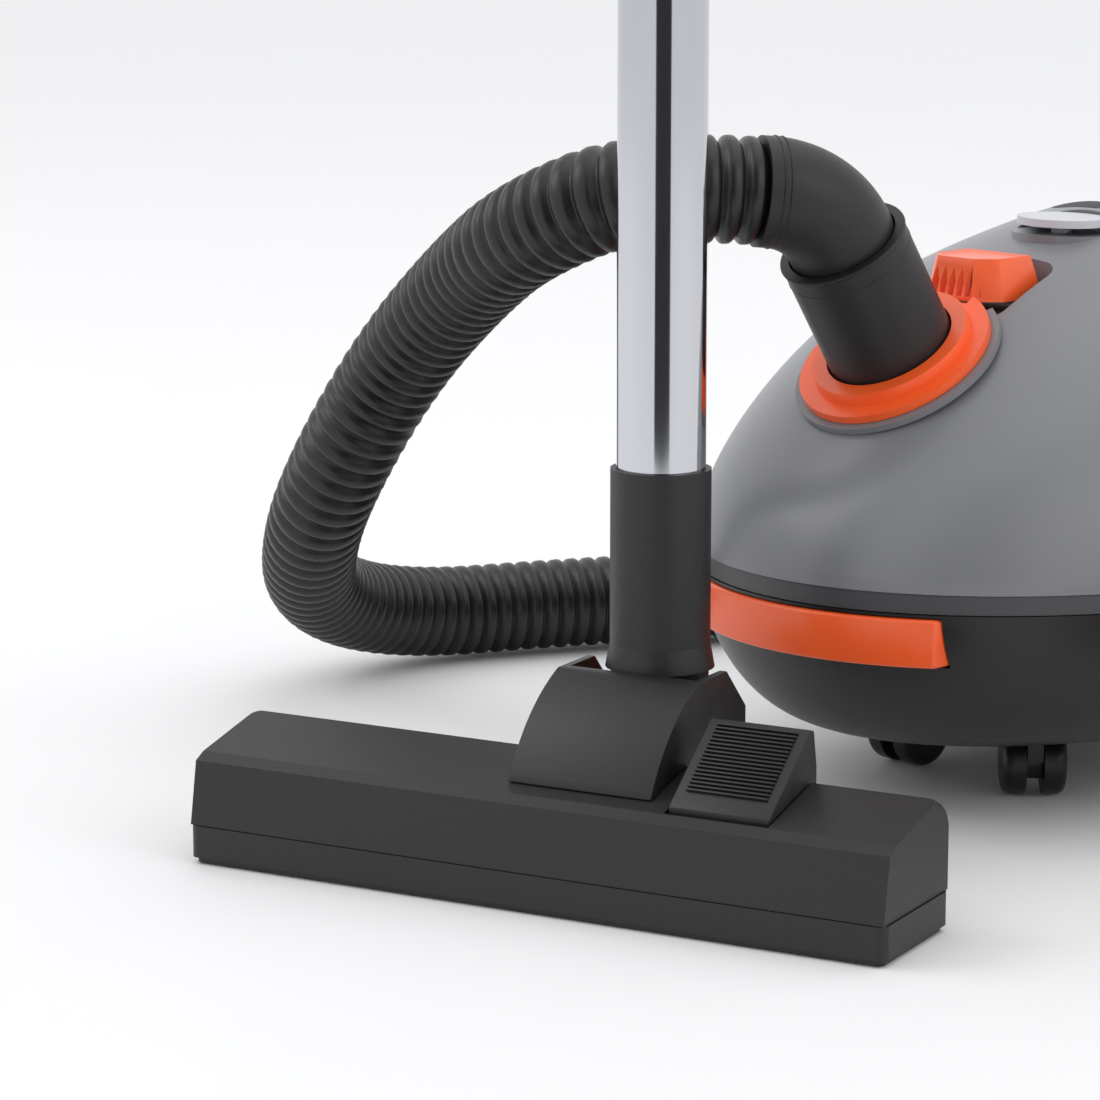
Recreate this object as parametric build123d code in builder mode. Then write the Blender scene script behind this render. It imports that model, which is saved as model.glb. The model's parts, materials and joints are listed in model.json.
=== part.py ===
from build123d import *
from math import cos, sin, tan, radians
import os

# Canister vacuum cleaner, millimetres.  +Z is up, the canister faces -Y, the floor is z = 0.
# The outlines below are drawn about the centre of the canister's nose; KEEP moves every
# finished piece so that the origin is the middle of the footprint.

FOOTPRINT_X, FOOTPRINT_Y = 11.504, -33.461
KEEP = Pos(-FOOTPRINT_X, -FOOTPRINT_Y, 0)

# Canister shells: (height, half width, half length, centre y) of each oval section
BASE_OVALS = ((28, 76, 112, 57), (36, 96, 136, 58), (50, 112, 151, 60), (68, 121, 161, 61), (87.7, 125, 165, 61))
DOME_OVALS = ((95.3, 125, 165, 61), (118, 124, 160, 63), (142, 118, 145, 68), (164, 108, 124, 74),
              (184, 92, 101, 82), (200, 70, 76, 90), (212, 46, 50, 96), (220, 20, 22, 100))
WALL = 2.6
SEAM_Z = 88
BAND_H = 7

# Inlet: the collar leans forward from this point of the dome
INLET = Vector(0, -40, 171)
INLET_LEAN = 33.5
COLLAR_R = 24.2
COLLAR_LENGTH = 56
ELBOW_R = 20.5
ELBOW_SWING = 38
HOSE_R = 20
HOSE_BORE_R = 16

# Wheels
CASTER_X, CASTER_Y, CASTER_TRAIL = 36, 3, 7
CASTER_WHEEL_R, CASTER_WHEEL_W = 13, 9
REAR_WHEEL_R, REAR_WHEEL_W = 52, 20
REAR_WHEEL_X, REAR_WHEEL_Y = 103, 165

# Floor head, its length turned a little from the canister's X axis
HEAD_X, HEAD_Y, HEAD_TURN = 20, -249, 18.7
HEAD_LENGTH, HEAD_DEPTH = 274, 53
HEAD_SEAM_Z = 14
JOINT_ALONG, JOINT_DEPTH, JOINT_Z = 14, 77, 48
NECK_R = 18
WAND_R = 16
NECK_BOTTOM_Z, NECK_TOP_Z = 74, 146
WAND_TOP_Z = 560
INNER_TUBE_TOP_Z = 640

os.makedirs("parts", exist_ok=True)


def keep(part, label):
    """Name a finished piece, move it to the model frame and write it."""
    part = KEEP * part
    part.label = label
    export_step(part, f"parts/{label}.step")


def oval_loft(ovals, inset=0.0, lift_low=0.0, lift_high=0.0):
    """Loft through the ovals; inset makes the inner skin of a wall."""
    with BuildPart() as skin:
        last = len(ovals) - 1
        for i, (z, half_x, half_y, centre_y) in enumerate(ovals):
            level = z + (lift_low if i == 0 else 0) - (lift_high if i == last else 0)
            with BuildSketch(Plane.XY.offset(level)):
                with Locations((0, centre_y)):
                    Ellipse(half_x - inset, half_y - inset)
        loft()
    return skin.part


def cylinder_between(start, end, radius):
    """A plain round bar from start to end."""
    line = Vector(*end) - Vector(*start)
    with BuildPart() as bar:
        with BuildSketch(Plane(origin=start, z_dir=line)):
            Circle(radius)
        extrude(amount=line.length)
    return bar.part


def tube_between(start, end, outer, inner):
    """A plain round tube from start to end."""
    line = Vector(*end) - Vector(*start)
    with BuildPart() as bar:
        with BuildSketch(Plane(origin=start, z_dir=line)):
            Circle(outer)
            Circle(inner, mode=Mode.SUBTRACT)
        extrude(amount=line.length)
    return bar.part


# ---------------------------------------------------------------- inlet directions
lean = radians(INLET_LEAN)
inlet_axis = Vector(0, -sin(lean), cos(lean))


def inlet_at(height):
    """The plane across the inlet, this far out along its axis."""
    return Plane(origin=INLET + inlet_axis * height, x_dir=(1, 0, 0), z_dir=inlet_axis)


# ---------------------------------------------------------------- wheel arches
ARCH_R = REAR_WHEEL_R + 4
ARCH_X = REAR_WHEEL_X - REAR_WHEEL_W / 2 - 3


def arch_round(side, radius, depth):
    """A round plug over a rear wheel; a positive depth runs outwards from the arch's back."""
    with BuildPart() as plug:
        with BuildSketch(Plane.YZ.offset(side * ARCH_X)):
            with Locations((REAR_WHEEL_Y, REAR_WHEEL_R)):
                Circle(radius)
        extrude(amount=side * depth)
    return plug.part


arch_space = arch_round(-1, ARCH_R, 60) + arch_round(1, ARCH_R, 60)
arch_walls = (arch_round(-1, ARCH_R + WALL, 60) + arch_round(-1, ARCH_R + WALL, -WALL)
              + arch_round(1, ARCH_R + WALL, 60) + arch_round(1, ARCH_R + WALL, -WALL)) - arch_space

# ---------------------------------------------------------------- dome
KNOB_Y, KNOB_FLOOR_Z = 6, 186
BUTTON_Y, BOSS_TOP_Z = 54, 212
TRENCH_Y, TRENCH_FLOOR_Z = 110, 204
GRILLE_Y = 172

dome_outer = oval_loft(DOME_OVALS)
dome_inner = oval_loft(DOME_OVALS, inset=WALL, lift_low=-1, lift_high=3.5)
with BuildPart() as dome_arches:
    add(dome_outer)
    with BuildSketch(Plane.XY.offset(SEAM_Z)):
        with Locations((0, 61)):
            Ellipse(124.4, 164.4)
    extrude(amount=BAND_H + 0.3)
    add(arch_walls, mode=Mode.INTERSECT)

with BuildPart() as pocket_blocks:
    with BuildSketch(Plane.XY.offset(KNOB_FLOOR_Z - WALL)):
        with Locations((0, KNOB_Y)):
            RectangleRounded(53, 45, 10)
    extrude(amount=60)
    with BuildSketch(Plane.XY.offset(TRENCH_FLOOR_Z - WALL)):
        with Locations((0, TRENCH_Y)):
            RectangleRounded(65, 77, 16)
    extrude(amount=40)
    add(dome_outer, mode=Mode.INTERSECT)

# the nose is cut flat, square to the inlet, for the ring
with BuildPart() as upper_shell:
    add(dome_outer)
    with BuildSketch(inlet_at(0)):
        Circle(41)
    extrude(amount=60, mode=Mode.SUBTRACT)
    add(dome_inner, mode=Mode.SUBTRACT)
    add(pocket_blocks.part)
    with BuildSketch(inlet_at(0)):
        Circle(41)
    extrude(amount=-WALL)
    with BuildSketch(inlet_at(0)):
        Circle(41)
    extrude(amount=30, mode=Mode.SUBTRACT)
    with BuildSketch(inlet_at(0)):
        Circle(COLLAR_R + 3.6)
    extrude(amount=-30, mode=Mode.SUBTRACT)
    # recess that the knob stands in
    with BuildSketch(Plane.XY.offset(KNOB_FLOOR_Z)):
        with Locations((0, KNOB_Y)):
            RectangleRounded(48, 40, 8)
    extrude(amount=40, mode=Mode.SUBTRACT)
    with BuildSketch(Plane.XY.offset(KNOB_FLOOR_Z)):
        with Locations((0, KNOB_Y)):
            Rectangle(21, 13)
    extrude(amount=-WALL, mode=Mode.SUBTRACT)
    # boss under the oval button, with the stem's hole; its top is cut level
    with BuildSketch(Plane.XY.offset(190)):
        with Locations((0, BUTTON_Y)):
            Ellipse(21, 17)
    extrude(amount=BOSS_TOP_Z - 190)
    with BuildSketch(Plane.XY.offset(BOSS_TOP_Z)):
        with Locations((0, BUTTON_Y)):
            Ellipse(21, 17)
    extrude(amount=20, mode=Mode.SUBTRACT)
    with BuildSketch(Plane.XY.offset(180)):
        with Locations((0, BUTTON_Y)):
            Circle(4.3)
    extrude(amount=60, mode=Mode.SUBTRACT)
    # trench for the carry handle
    with BuildSketch(Plane.XY.offset(TRENCH_FLOOR_Z)):
        with Locations((0, TRENCH_Y)):
            RectangleRounded(60, 72, 14)
    extrude(amount=40, mode=Mode.SUBTRACT)
    # opening for the exhaust grille
    with BuildSketch(Plane.XY.offset(150)):
        with Locations((0, GRILLE_Y)):
            RectangleRounded(90, 30, 8)
    extrude(amount=60, mode=Mode.SUBTRACT)
    add(arch_space, mode=Mode.SUBTRACT)
    add(dome_arches.part)
keep(upper_shell.part, "upper_shell")

with BuildPart() as exhaust_grille:
    with BuildSketch(Plane.XY.offset(150)):
        with Locations((0, GRILLE_Y)):
            RectangleRounded(89.4, 29.4, 7.7)
            with GridLocations(7, 0, 11, 1):
                SlotOverall(22, 3.6, rotation=90, mode=Mode.SUBTRACT)
    extrude(amount=60)
    add(dome_outer, mode=Mode.INTERSECT)
    add(dome_inner, mode=Mode.SUBTRACT)
keep(exhaust_grille.part, "exhaust_grille")

# ---------------------------------------------------------------- seam band and black base
with BuildPart() as seam_band:
    with BuildSketch(Plane.XY.offset(SEAM_Z)):
        with Locations((0, 61)):
            Ellipse(124.4, 164.4)
            Ellipse(124.4 - WALL, 164.4 - WALL, mode=Mode.SUBTRACT)
    extrude(amount=BAND_H)
    add(arch_space, mode=Mode.SUBTRACT)
    add(arch_walls, mode=Mode.SUBTRACT)
keep(seam_band.part, "seam_band")

LATCH_HALF_X, LATCH_Z0, LATCH_Z1 = 62, 68, 86
STUB_R, STUB_BORE_R = 3.95, 4.0
CORD_OUTLET = (56, 64)
SCREWS_AT = ((-48, 40), (48, 40), (-34, 128), (34, 128))
base_outer = oval_loft(BASE_OVALS)
base_inner = oval_loft(BASE_OVALS, inset=WALL, lift_low=WALL, lift_high=-2)
with BuildPart() as base_arches:
    add(base_outer)
    add(arch_walls, mode=Mode.INTERSECT)

with BuildPart() as lower_housing:
    add(base_outer)
    add(base_inner, mode=Mode.SUBTRACT)
    # recess for the front latch, closed at the back
    with BuildSketch(Plane.XY.offset(LATCH_Z0 - 3)):
        with Locations((0, 61)):
            Ellipse(118.6, 158.6)
            Ellipse(116, 156, mode=Mode.SUBTRACT)
        with Locations((0, -90)):
            Rectangle(2 * LATCH_HALF_X + 8, 80, mode=Mode.INTERSECT)
    extrude(amount=SEAM_Z - LATCH_Z0 + 2.7)
    with BuildSketch(Plane.XY.offset(LATCH_Z0 - 0.6)):
        with Locations((0, 61)):
            Ellipse(130, 170)
            Ellipse(118.6, 158.6, mode=Mode.SUBTRACT)
        with Locations((0, -90)):
            Rectangle(2 * LATCH_HALF_X + 1.2, 80, mode=Mode.INTERSECT)
    extrude(amount=LATCH_Z1 - LATCH_Z0 + 1.2, mode=Mode.SUBTRACT)
    # hole for the cord outlet in the tail
    with BuildSketch(Plane.XZ.offset(-240)):
        with Locations(CORD_OUTLET):
            Circle(9)
    extrude(amount=60, mode=Mode.SUBTRACT)
    # bosses that take the casters' pins
    with BuildSketch(Plane.XY.offset(28)):
        with Locations((-CASTER_X, CASTER_Y), (CASTER_X, CASTER_Y)):
            Circle(9)
    extrude(amount=18)
    with BuildSketch(Plane.XY.offset(28)):
        with Locations((-CASTER_X, CASTER_Y), (CASTER_X, CASTER_Y)):
            Circle(4.05)
    extrude(amount=15, mode=Mode.SUBTRACT)
    with BuildSketch(Plane.XY.offset(20)):
        with Locations(*SCREWS_AT):
            Circle(2.1)
    extrude(amount=14, mode=Mode.SUBTRACT)
    add(arch_space, mode=Mode.SUBTRACT)
    add(base_arches.part)
    with BuildSketch(Plane.YZ.offset(-130)):
        with Locations((REAR_WHEEL_Y, REAR_WHEEL_R)):
            Circle(STUB_BORE_R)
    extrude(amount=260, mode=Mode.SUBTRACT)
keep(lower_housing.part, "lower_housing")

with BuildPart() as base_screws:
    for level, radius, height in ((25.8, 4, 2), (27.8, 1.9, 9)):
        with BuildSketch(Plane.XY.offset(level)):
            with Locations(*SCREWS_AT):
                Circle(radius)
        extrude(amount=height)
keep(base_screws.part, "base_screws")

# front latch: a curved bar that fills the recess
with BuildPart() as front_latch:
    with BuildSketch(Plane.XY.offset(LATCH_Z0)):
        with Locations((0, 61)):
            Ellipse(126.6, 166.6)
            Ellipse(119, 159, mode=Mode.SUBTRACT)
        with Locations((0, -90)):
            Rectangle(2 * LATCH_HALF_X, 80, mode=Mode.INTERSECT)
    extrude(amount=LATCH_Z1 - LATCH_Z0)
keep(front_latch.part, "front_latch")

# ---------------------------------------------------------------- inlet, collar and elbow
with BuildPart() as inlet_ring:
    with BuildSketch(inlet_at(0.2)):
        Circle(38)
        Circle(COLLAR_R + 0.4, mode=Mode.SUBTRACT)
    extrude(amount=3.2)
    with BuildSketch(inlet_at(3.4)):
        Circle(31.5)
        Circle(COLLAR_R + 0.4, mode=Mode.SUBTRACT)
    extrude(amount=4.6, taper=6)
    with BuildSketch(inlet_at(0.2)):
        with Locations((0, 36)):
            Rectangle(26, 9)
    extrude(amount=8, mode=Mode.SUBTRACT)
keep(inlet_ring.part, "inlet_ring")

with BuildPart() as inlet_seal:
    with BuildSketch(inlet_at(-6)):
        Circle(COLLAR_R + 3.2)
        Circle(COLLAR_R + 0.3, mode=Mode.SUBTRACT)
    extrude(amount=5.8)
keep(inlet_seal.part, "inlet_seal")

with BuildPart() as hose_collar:
    with BuildSketch(inlet_at(-18)):
        Circle(COLLAR_R)
        Circle(HOSE_BORE_R + 5.2, mode=Mode.SUBTRACT)
    extrude(amount=18 + COLLAR_LENGTH)
keep(hose_collar.part, "hose_collar")

# the elbow turns from the inlet axis to nearly level, swung a little to the far side
ELBOW_TURN = 57
ELBOW_BEND_R = 36
elbow_out = (Vector(0, -cos(lean), -sin(lean)) * cos(radians(ELBOW_SWING))
             + Vector(-1, 0, 0) * sin(radians(ELBOW_SWING)))
elbow_start = INLET + inlet_axis * (COLLAR_LENGTH - 14)
bend_start = INLET + inlet_axis * (COLLAR_LENGTH + 2)
turn = radians(ELBOW_TURN)
bend_mid = (bend_start + elbow_out * ELBOW_BEND_R * (1 - cos(turn / 2))
            + inlet_axis * ELBOW_BEND_R * sin(turn / 2))
bend_end = bend_start + elbow_out * ELBOW_BEND_R * (1 - cos(turn)) + inlet_axis * ELBOW_BEND_R * sin(turn)
hose_way = inlet_axis * cos(turn) + elbow_out * sin(turn)
elbow_end = bend_end + hose_way * 4
with BuildPart() as hose_elbow:
    with BuildLine() as elbow_path:
        Line(elbow_start, bend_start)
        ThreePointArc(bend_start, bend_mid, bend_end)
        Line(bend_end, elbow_end)
    with BuildSketch(Plane(origin=elbow_start, x_dir=(1, 0, 0), z_dir=inlet_axis)):
        Circle(ELBOW_R)
        Circle(HOSE_BORE_R, mode=Mode.SUBTRACT)
    sweep(path=elbow_path.wires()[0])
keep(hose_elbow.part, "hose_elbow")
print("hose starts at", elbow_end, "and leaves along", hose_way)

# ---------------------------------------------------------------- controls and handle
KNOB_OUTLINE = ((-20, -6), (-12, -17), (12, -17), (20, -6), (20, 15), (-20, 15))
with BuildPart() as speed_knob:
    with BuildSketch(Plane.XY.offset(KNOB_FLOOR_Z + 5)):
        with Locations((0, KNOB_Y)):
            Polygon(*KNOB_OUTLINE, align=None)
    extrude(amount=4)
    with BuildSketch(Plane.XY.offset(KNOB_FLOOR_Z + 9)):
        with Locations((0, KNOB_Y)):
            Polygon(*[(x * 0.95, y * 0.95) for x, y in KNOB_OUTLINE], align=None)
    extrude(amount=12, taper=16)
    with BuildSketch(Plane.XY.offset(KNOB_FLOOR_Z - 6)):
        with Locations((0, KNOB_Y)):
            Rectangle(20, 12)
    extrude(amount=11)
keep(speed_knob.part, "speed_knob")

with BuildPart() as power_button:
    with BuildSketch(Plane.XY.offset(BOSS_TOP_Z + 3)):
        with Locations((0, BUTTON_Y)):
            Ellipse(19, 15)
    extrude(amount=3)
    with BuildSketch(Plane.XY.offset(BOSS_TOP_Z - 24)):
        with Locations((0, BUTTON_Y)):
            Circle(4)
    extrude(amount=28)
keep(power_button.part, "power_button")

HANDLE_LIFT, HANDLE_THICK = 2.6, 9
HANDLE_PIVOT = (135, TRENCH_FLOOR_Z + HANDLE_LIFT + HANDLE_THICK / 2)
HANDLE_PIN_HALF = 29.03
with BuildPart() as carry_handle:
    with BuildSketch(Plane.XY.offset(TRENCH_FLOOR_Z + HANDLE_LIFT)):
        with Locations((0, 108)):
            RectangleRounded(52, 64, 12)
            RectangleRounded(32, 40, 7, mode=Mode.SUBTRACT)
    extrude(amount=HANDLE_THICK)
    with BuildSketch(Plane.YZ.offset(-26)):
        with Locations(HANDLE_PIVOT):
            Circle(2.1)
    extrude(amount=52, mode=Mode.SUBTRACT)
    fillet(carry_handle.edges().filter_by(GeomType.BSPLINE, reverse=True).group_by(Axis.Z)[-1], 2)
keep(carry_handle.part, "carry_handle")
keep(cylinder_between((-HANDLE_PIN_HALF, *HANDLE_PIVOT), (HANDLE_PIN_HALF, *HANDLE_PIVOT), 2.04), "handle_pin")

# ---------------------------------------------------------------- inside the canister
MOTOR_Z, MOTOR_R = 100, 44
with BuildPart() as motor_housing:
    with BuildSketch(Plane.XZ.offset(-78)):
        with Locations((0, MOTOR_Z)):
            Circle(MOTOR_R)
    extrude(amount=-43)
    with BuildSketch(Plane.XZ.offset(-81)):
        with Locations((0, MOTOR_Z)):
            Circle(MOTOR_R - 3)
    extrude(amount=-37, mode=Mode.SUBTRACT)
    with BuildSketch(Plane.XZ.offset(-70)):
        with Locations((0, MOTOR_Z)):
            Circle(4.05)
    extrude(amount=-60, mode=Mode.SUBTRACT)
keep(motor_housing.part, "motor_housing")
keep(tube_between((0, 88, MOTOR_Z), (0, 118, MOTOR_Z), 40.9, 18), "motor_stator")

with BuildPart() as motor_rotor:
    with BuildSketch(Plane.XZ.offset(-60)):
        with Locations((0, MOTOR_Z)):
            Circle(4)
    extrude(amount=-64)
    with BuildSketch(Plane.XZ.offset(-89)):
        with Locations((0, MOTOR_Z)):
            Circle(17.5)
    extrude(amount=-28)
keep(motor_rotor.part, "motor_rotor")
with BuildPart() as fan:
    with BuildSketch(Plane.XZ.offset(-62)):
        with Locations((0, MOTOR_Z)):
            Circle(38)
            Circle(4, mode=Mode.SUBTRACT)
    extrude(amount=-2)
    with BuildSketch(Plane.XZ.offset(-64)):
        with Locations((0, MOTOR_Z)):
            with PolarLocations(23, 9):
                Rectangle(28, 2)
    extrude(amount=-9)
keep(fan.part, "fan")

with BuildPart() as dust_bag:
    with BuildSketch(Plane.XY.offset(50)):
        with Locations((0, -14)):
            Ellipse(60, 50)
    with BuildSketch(Plane.XY.offset(90)):
        with Locations((0, -14)):
            Ellipse(74, 58)
    with BuildSketch(Plane.XY.offset(128)):
        with Locations((0, -8)):
            Ellipse(56, 42)
    loft()
keep(dust_bag.part, "dust_bag")
with BuildPart() as bag_holder:
    with BuildSketch(inlet_at(-22)):
        RectangleRounded(76, 64, 8)
        Circle(COLLAR_R + 0.8, mode=Mode.SUBTRACT)
    extrude(amount=-3)
keep(bag_holder.part, "bag_holder")
with BuildPart() as motor_filter:
    with BuildSketch(Plane.XZ.offset(-53)):
        with Locations((0, MOTOR_Z)):
            RectangleRounded(110, 84, 8)
    extrude(amount=-6)
keep(motor_filter.part, "motor_filter")
with BuildPart() as exhaust_filter:
    with BuildSketch(Plane.XY.offset(100)):
        with Locations((0, 166)):
            RectangleRounded(96, 60, 6)
    extrude(amount=14)
keep(exhaust_filter.part, "exhaust_filter")
with BuildPart() as control_board:
    with BuildSketch(Plane.XY.offset(172)):
        with Locations((0, 40)):
            Rectangle(62, 46)
    extrude(amount=1.6)
keep(control_board.part, "control_board")

REEL_Y, REEL_Z0, REEL_R = 161, 52, 36
with BuildPart() as reel_post:
    with BuildSketch(Plane.XY.offset(34)):
        with Locations((0, REEL_Y)):
            Circle(5.95)
    extrude(amount=62)
    with BuildSketch(Plane.XY.offset(34)):
        with Locations((0, REEL_Y)):
            Circle(9)
    extrude(amount=4)
keep(reel_post.part, "reel_post")
with BuildPart() as cord_reel:
    for level, radius in ((REEL_Z0, REEL_R), (REEL_Z0 + 3, 20), (REEL_Z0 + 37, REEL_R)):
        with BuildSketch(Plane.XY.offset(level)):
            with Locations((0, REEL_Y)):
                Circle(radius)
        extrude(amount=34 if radius == 20 else 3)
    with BuildSketch(Plane.XY.offset(REEL_Z0)):
        with Locations((0, REEL_Y)):
            Circle(6)
    extrude(amount=40, mode=Mode.SUBTRACT)
keep(cord_reel.part, "cord_reel")
outlet_x, outlet_z = CORD_OUTLET
keep(tube_between((outlet_x, 186, outlet_z), (outlet_x, 211, outlet_z), 8.7, 4.5), "cord_outlet")

# ---------------------------------------------------------------- rear wheels
for side, name in ((-1, "left"), (1, "right")):
    centre_x = side * REAR_WHEEL_X
    inner_x = centre_x - side * REAR_WHEEL_W / 2
    with BuildPart() as rear_tyre:
        with BuildSketch(Plane.YZ.offset(inner_x)):
            with Locations((REAR_WHEEL_Y, REAR_WHEEL_R)):
                Circle(REAR_WHEEL_R)
                Circle(REAR_WHEEL_R - 7, mode=Mode.SUBTRACT)
        extrude(amount=side * REAR_WHEEL_W)
        outer_edges = rear_tyre.edges().filter_by(lambda edge: edge.radius == REAR_WHEEL_R
                                                  if edge.geom_type == GeomType.CIRCLE else False)
        fillet(outer_edges, 3)
    keep(rear_tyre.part, f"tyre_{name}")
    with BuildPart() as rear_hub:
        with BuildSketch(Plane.YZ.offset(inner_x)):
            with Locations((REAR_WHEEL_Y, REAR_WHEEL_R)):
                Circle(REAR_WHEEL_R - 7)
                Circle(STUB_BORE_R, mode=Mode.SUBTRACT)
        extrude(amount=side * (REAR_WHEEL_W - 1))
        with BuildSketch(Plane.YZ.offset(inner_x + side * (REAR_WHEEL_W - 7))):
            with Locations((REAR_WHEEL_Y, REAR_WHEEL_R)):
                Circle(REAR_WHEEL_R - 12)
                Circle(14, mode=Mode.SUBTRACT)
        extrude(amount=side * 10, mode=Mode.SUBTRACT)
    keep(rear_hub.part, f"hub_{name}")
    keep(cylinder_between((side * 84, REAR_WHEEL_Y, REAR_WHEEL_R),
                          (side * (REAR_WHEEL_X + 8), REAR_WHEEL_Y, REAR_WHEEL_R), STUB_R), f"stub_axle_{name}")

# ---------------------------------------------------------------- front casters
WEB_HALF, WHEEL_GAP = 3, 3.4
for side, name, axle_angle in ((-1, "left", 0), (1, "right", 47)):
    pin_at = Vector(side * CASTER_X, CASTER_Y, 0)
    axle_way = Vector(cos(radians(axle_angle)), sin(radians(axle_angle)), 0)
    trail_way = Vector(-axle_way.Y, axle_way.X, 0)
    hub_at = pin_at + trail_way * CASTER_TRAIL + Vector(0, 0, CASTER_WHEEL_R)
    with BuildPart() as caster_fork:
        with BuildSketch(Plane(origin=hub_at - axle_way * WEB_HALF, x_dir=trail_way, z_dir=axle_way)):
            Circle(7)
            with Locations((-CASTER_TRAIL / 2 - 1, 8)):
                Rectangle(13, 12.4)
            Circle(2.5, mode=Mode.SUBTRACT)
        extrude(amount=2 * WEB_HALF)
        with BuildSketch(Plane.XY.offset(CASTER_WHEEL_R + 14)):
            with Locations((pin_at.X, pin_at.Y)):
                Circle(4)
        extrude(amount=15)
        with BuildSketch(Plane.XY.offset(CASTER_WHEEL_R + 13.4)):
            with Locations((pin_at.X, pin_at.Y)):
                Circle(6.5)
        extrude(amount=1.2)
    keep(caster_fork.part, f"caster_fork_{name}")
    with BuildPart() as caster_wheels:
        for way in (-1, 1):
            with BuildSketch(Plane(origin=hub_at + axle_way * way * WHEEL_GAP, x_dir=trail_way,
                                   z_dir=axle_way * way)):
                Circle(CASTER_WHEEL_R)
            extrude(amount=CASTER_WHEEL_W)
        rims = caster_wheels.edges().filter_by(
            lambda edge: edge.geom_type == GeomType.CIRCLE
            and abs((edge.arc_center - hub_at).length - WHEEL_GAP - CASTER_WHEEL_W) < 0.01)
        fillet(rims, 4)
        with BuildSketch(Plane(origin=hub_at - axle_way * WHEEL_GAP, x_dir=trail_way, z_dir=axle_way)):
            Circle(2.45)
        extrude(amount=2 * WHEEL_GAP)
    keep(caster_wheels.part, f"caster_wheels_{name}")

# ---------------------------------------------------------------- hose
# straight out of the elbow, round and down to the floor, then once round the canister
hose_route = [elbow_end, elbow_end + hose_way * 44, Vector(-84, -152, 222), Vector(-138, -134, 196),
              Vector(-184, -128, 161), Vector(-212, -134, 121), Vector(-248, -124, 81),
              Vector(-296, -86, 43), Vector(-314, -20, 20.4), Vector(-286, 54, 20.4),
              Vector(-246, 128, 20.4), Vector(-224, 206, 20.4), Vector(-176, 272, 20.4),
              Vector(-100, 316, 20.4), Vector(-10, 332, 20.4), Vector(80, 322, 20.4),
              Vector(158, 282, 20.4), Vector(208, 214, 20.6), Vector(228, 132, 22.4), Vector(230, 62, 24.2)]


def arc_radii(route):
    """One radius for each corner: 0.45 of the shorter run over the tangent of half the turn."""
    radii = []
    for before, corner, after in zip(route, route[1:], route[2:]):
        run_in, run_out = corner - before, after - corner
        half_turn = radians(run_in.get_angle(run_out) / 2)
        radii.append(0.45 * min(run_in.length, run_out.length) / tan(half_turn))
    return radii


hose_radii = arc_radii(hose_route)
print("hose radii", [round(radius) for radius in hose_radii])
with BuildPart() as hose:
    with BuildLine() as hose_line:
        FilletPolyline(*hose_route, radius=hose_radii)
    with BuildSketch(Plane(origin=hose_route[0], z_dir=hose_route[1] - hose_route[0])):
        Circle(HOSE_R)
    sweep(path=hose_line.wires()[0])
hose_length = hose_line.wires()[0].length
print("hose length", hose_length, "volume", hose.part.volume, "section x length",
      3.14159265 * HOSE_R ** 2 * hose_length)
keep(hose.part, "hose")

# ---------------------------------------------------------------- hand grip on the hose's far end
hose_end = hose_route[-1]
end_way = (hose_route[-1] - hose_route[-2]).normalized()
grip_start = hose_end + end_way * 0.2
grip_bend = grip_start + end_way * 70
grip_tip = grip_bend + Vector(0.42, -1, 0.02).normalized() * 90
with BuildPart() as hand_grip:
    with BuildLine() as grip_line:
        FilletPolyline(grip_start, grip_bend, grip_tip, radius=60)
    with BuildSketch(Plane(origin=grip_start, z_dir=end_way)):
        Circle(18.5)
        Circle(14, mode=Mode.SUBTRACT)
    sweep(path=grip_line.wires()[0])
keep(hand_grip.part, "hand_grip")
cuff_end = grip_start + end_way * 34
keep(tube_between(grip_start, cuff_end, 22.4, 18.52), "hose_cuff")

slider_way = (grip_tip - grip_bend).normalized()
slider_at = grip_bend + slider_way * 48
with BuildPart() as air_slider:
    with BuildSketch(Plane(origin=slider_at, z_dir=slider_way)):
        Circle(21)
        Circle(18.8, mode=Mode.SUBTRACT)
    extrude(amount=18)
keep(air_slider.part, "air_slider")
print("slider way", slider_way)

# ---------------------------------------------------------------- floor head
head_way = Vector(cos(radians(HEAD_TURN)), sin(radians(HEAD_TURN)), 0)
back_way = Vector(-head_way.Y, head_way.X, 0)


def head_point(along, depth, height):
    """A point of the floor head: along its length, back from its front edge, and up."""
    return Vector(HEAD_X, HEAD_Y, height) + head_way * along + back_way * depth


def head_section(along):
    """The plane across the head's length there: x runs back, y runs up."""
    return Plane(origin=head_point(along, 0, 0), x_dir=back_way, z_dir=head_way)


def head_level(along, depth, height):
    """A level plane centred on that point, its x along the head."""
    return Plane(origin=head_point(along, depth, height), x_dir=head_way, z_dir=(0, 0, 1))


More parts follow.
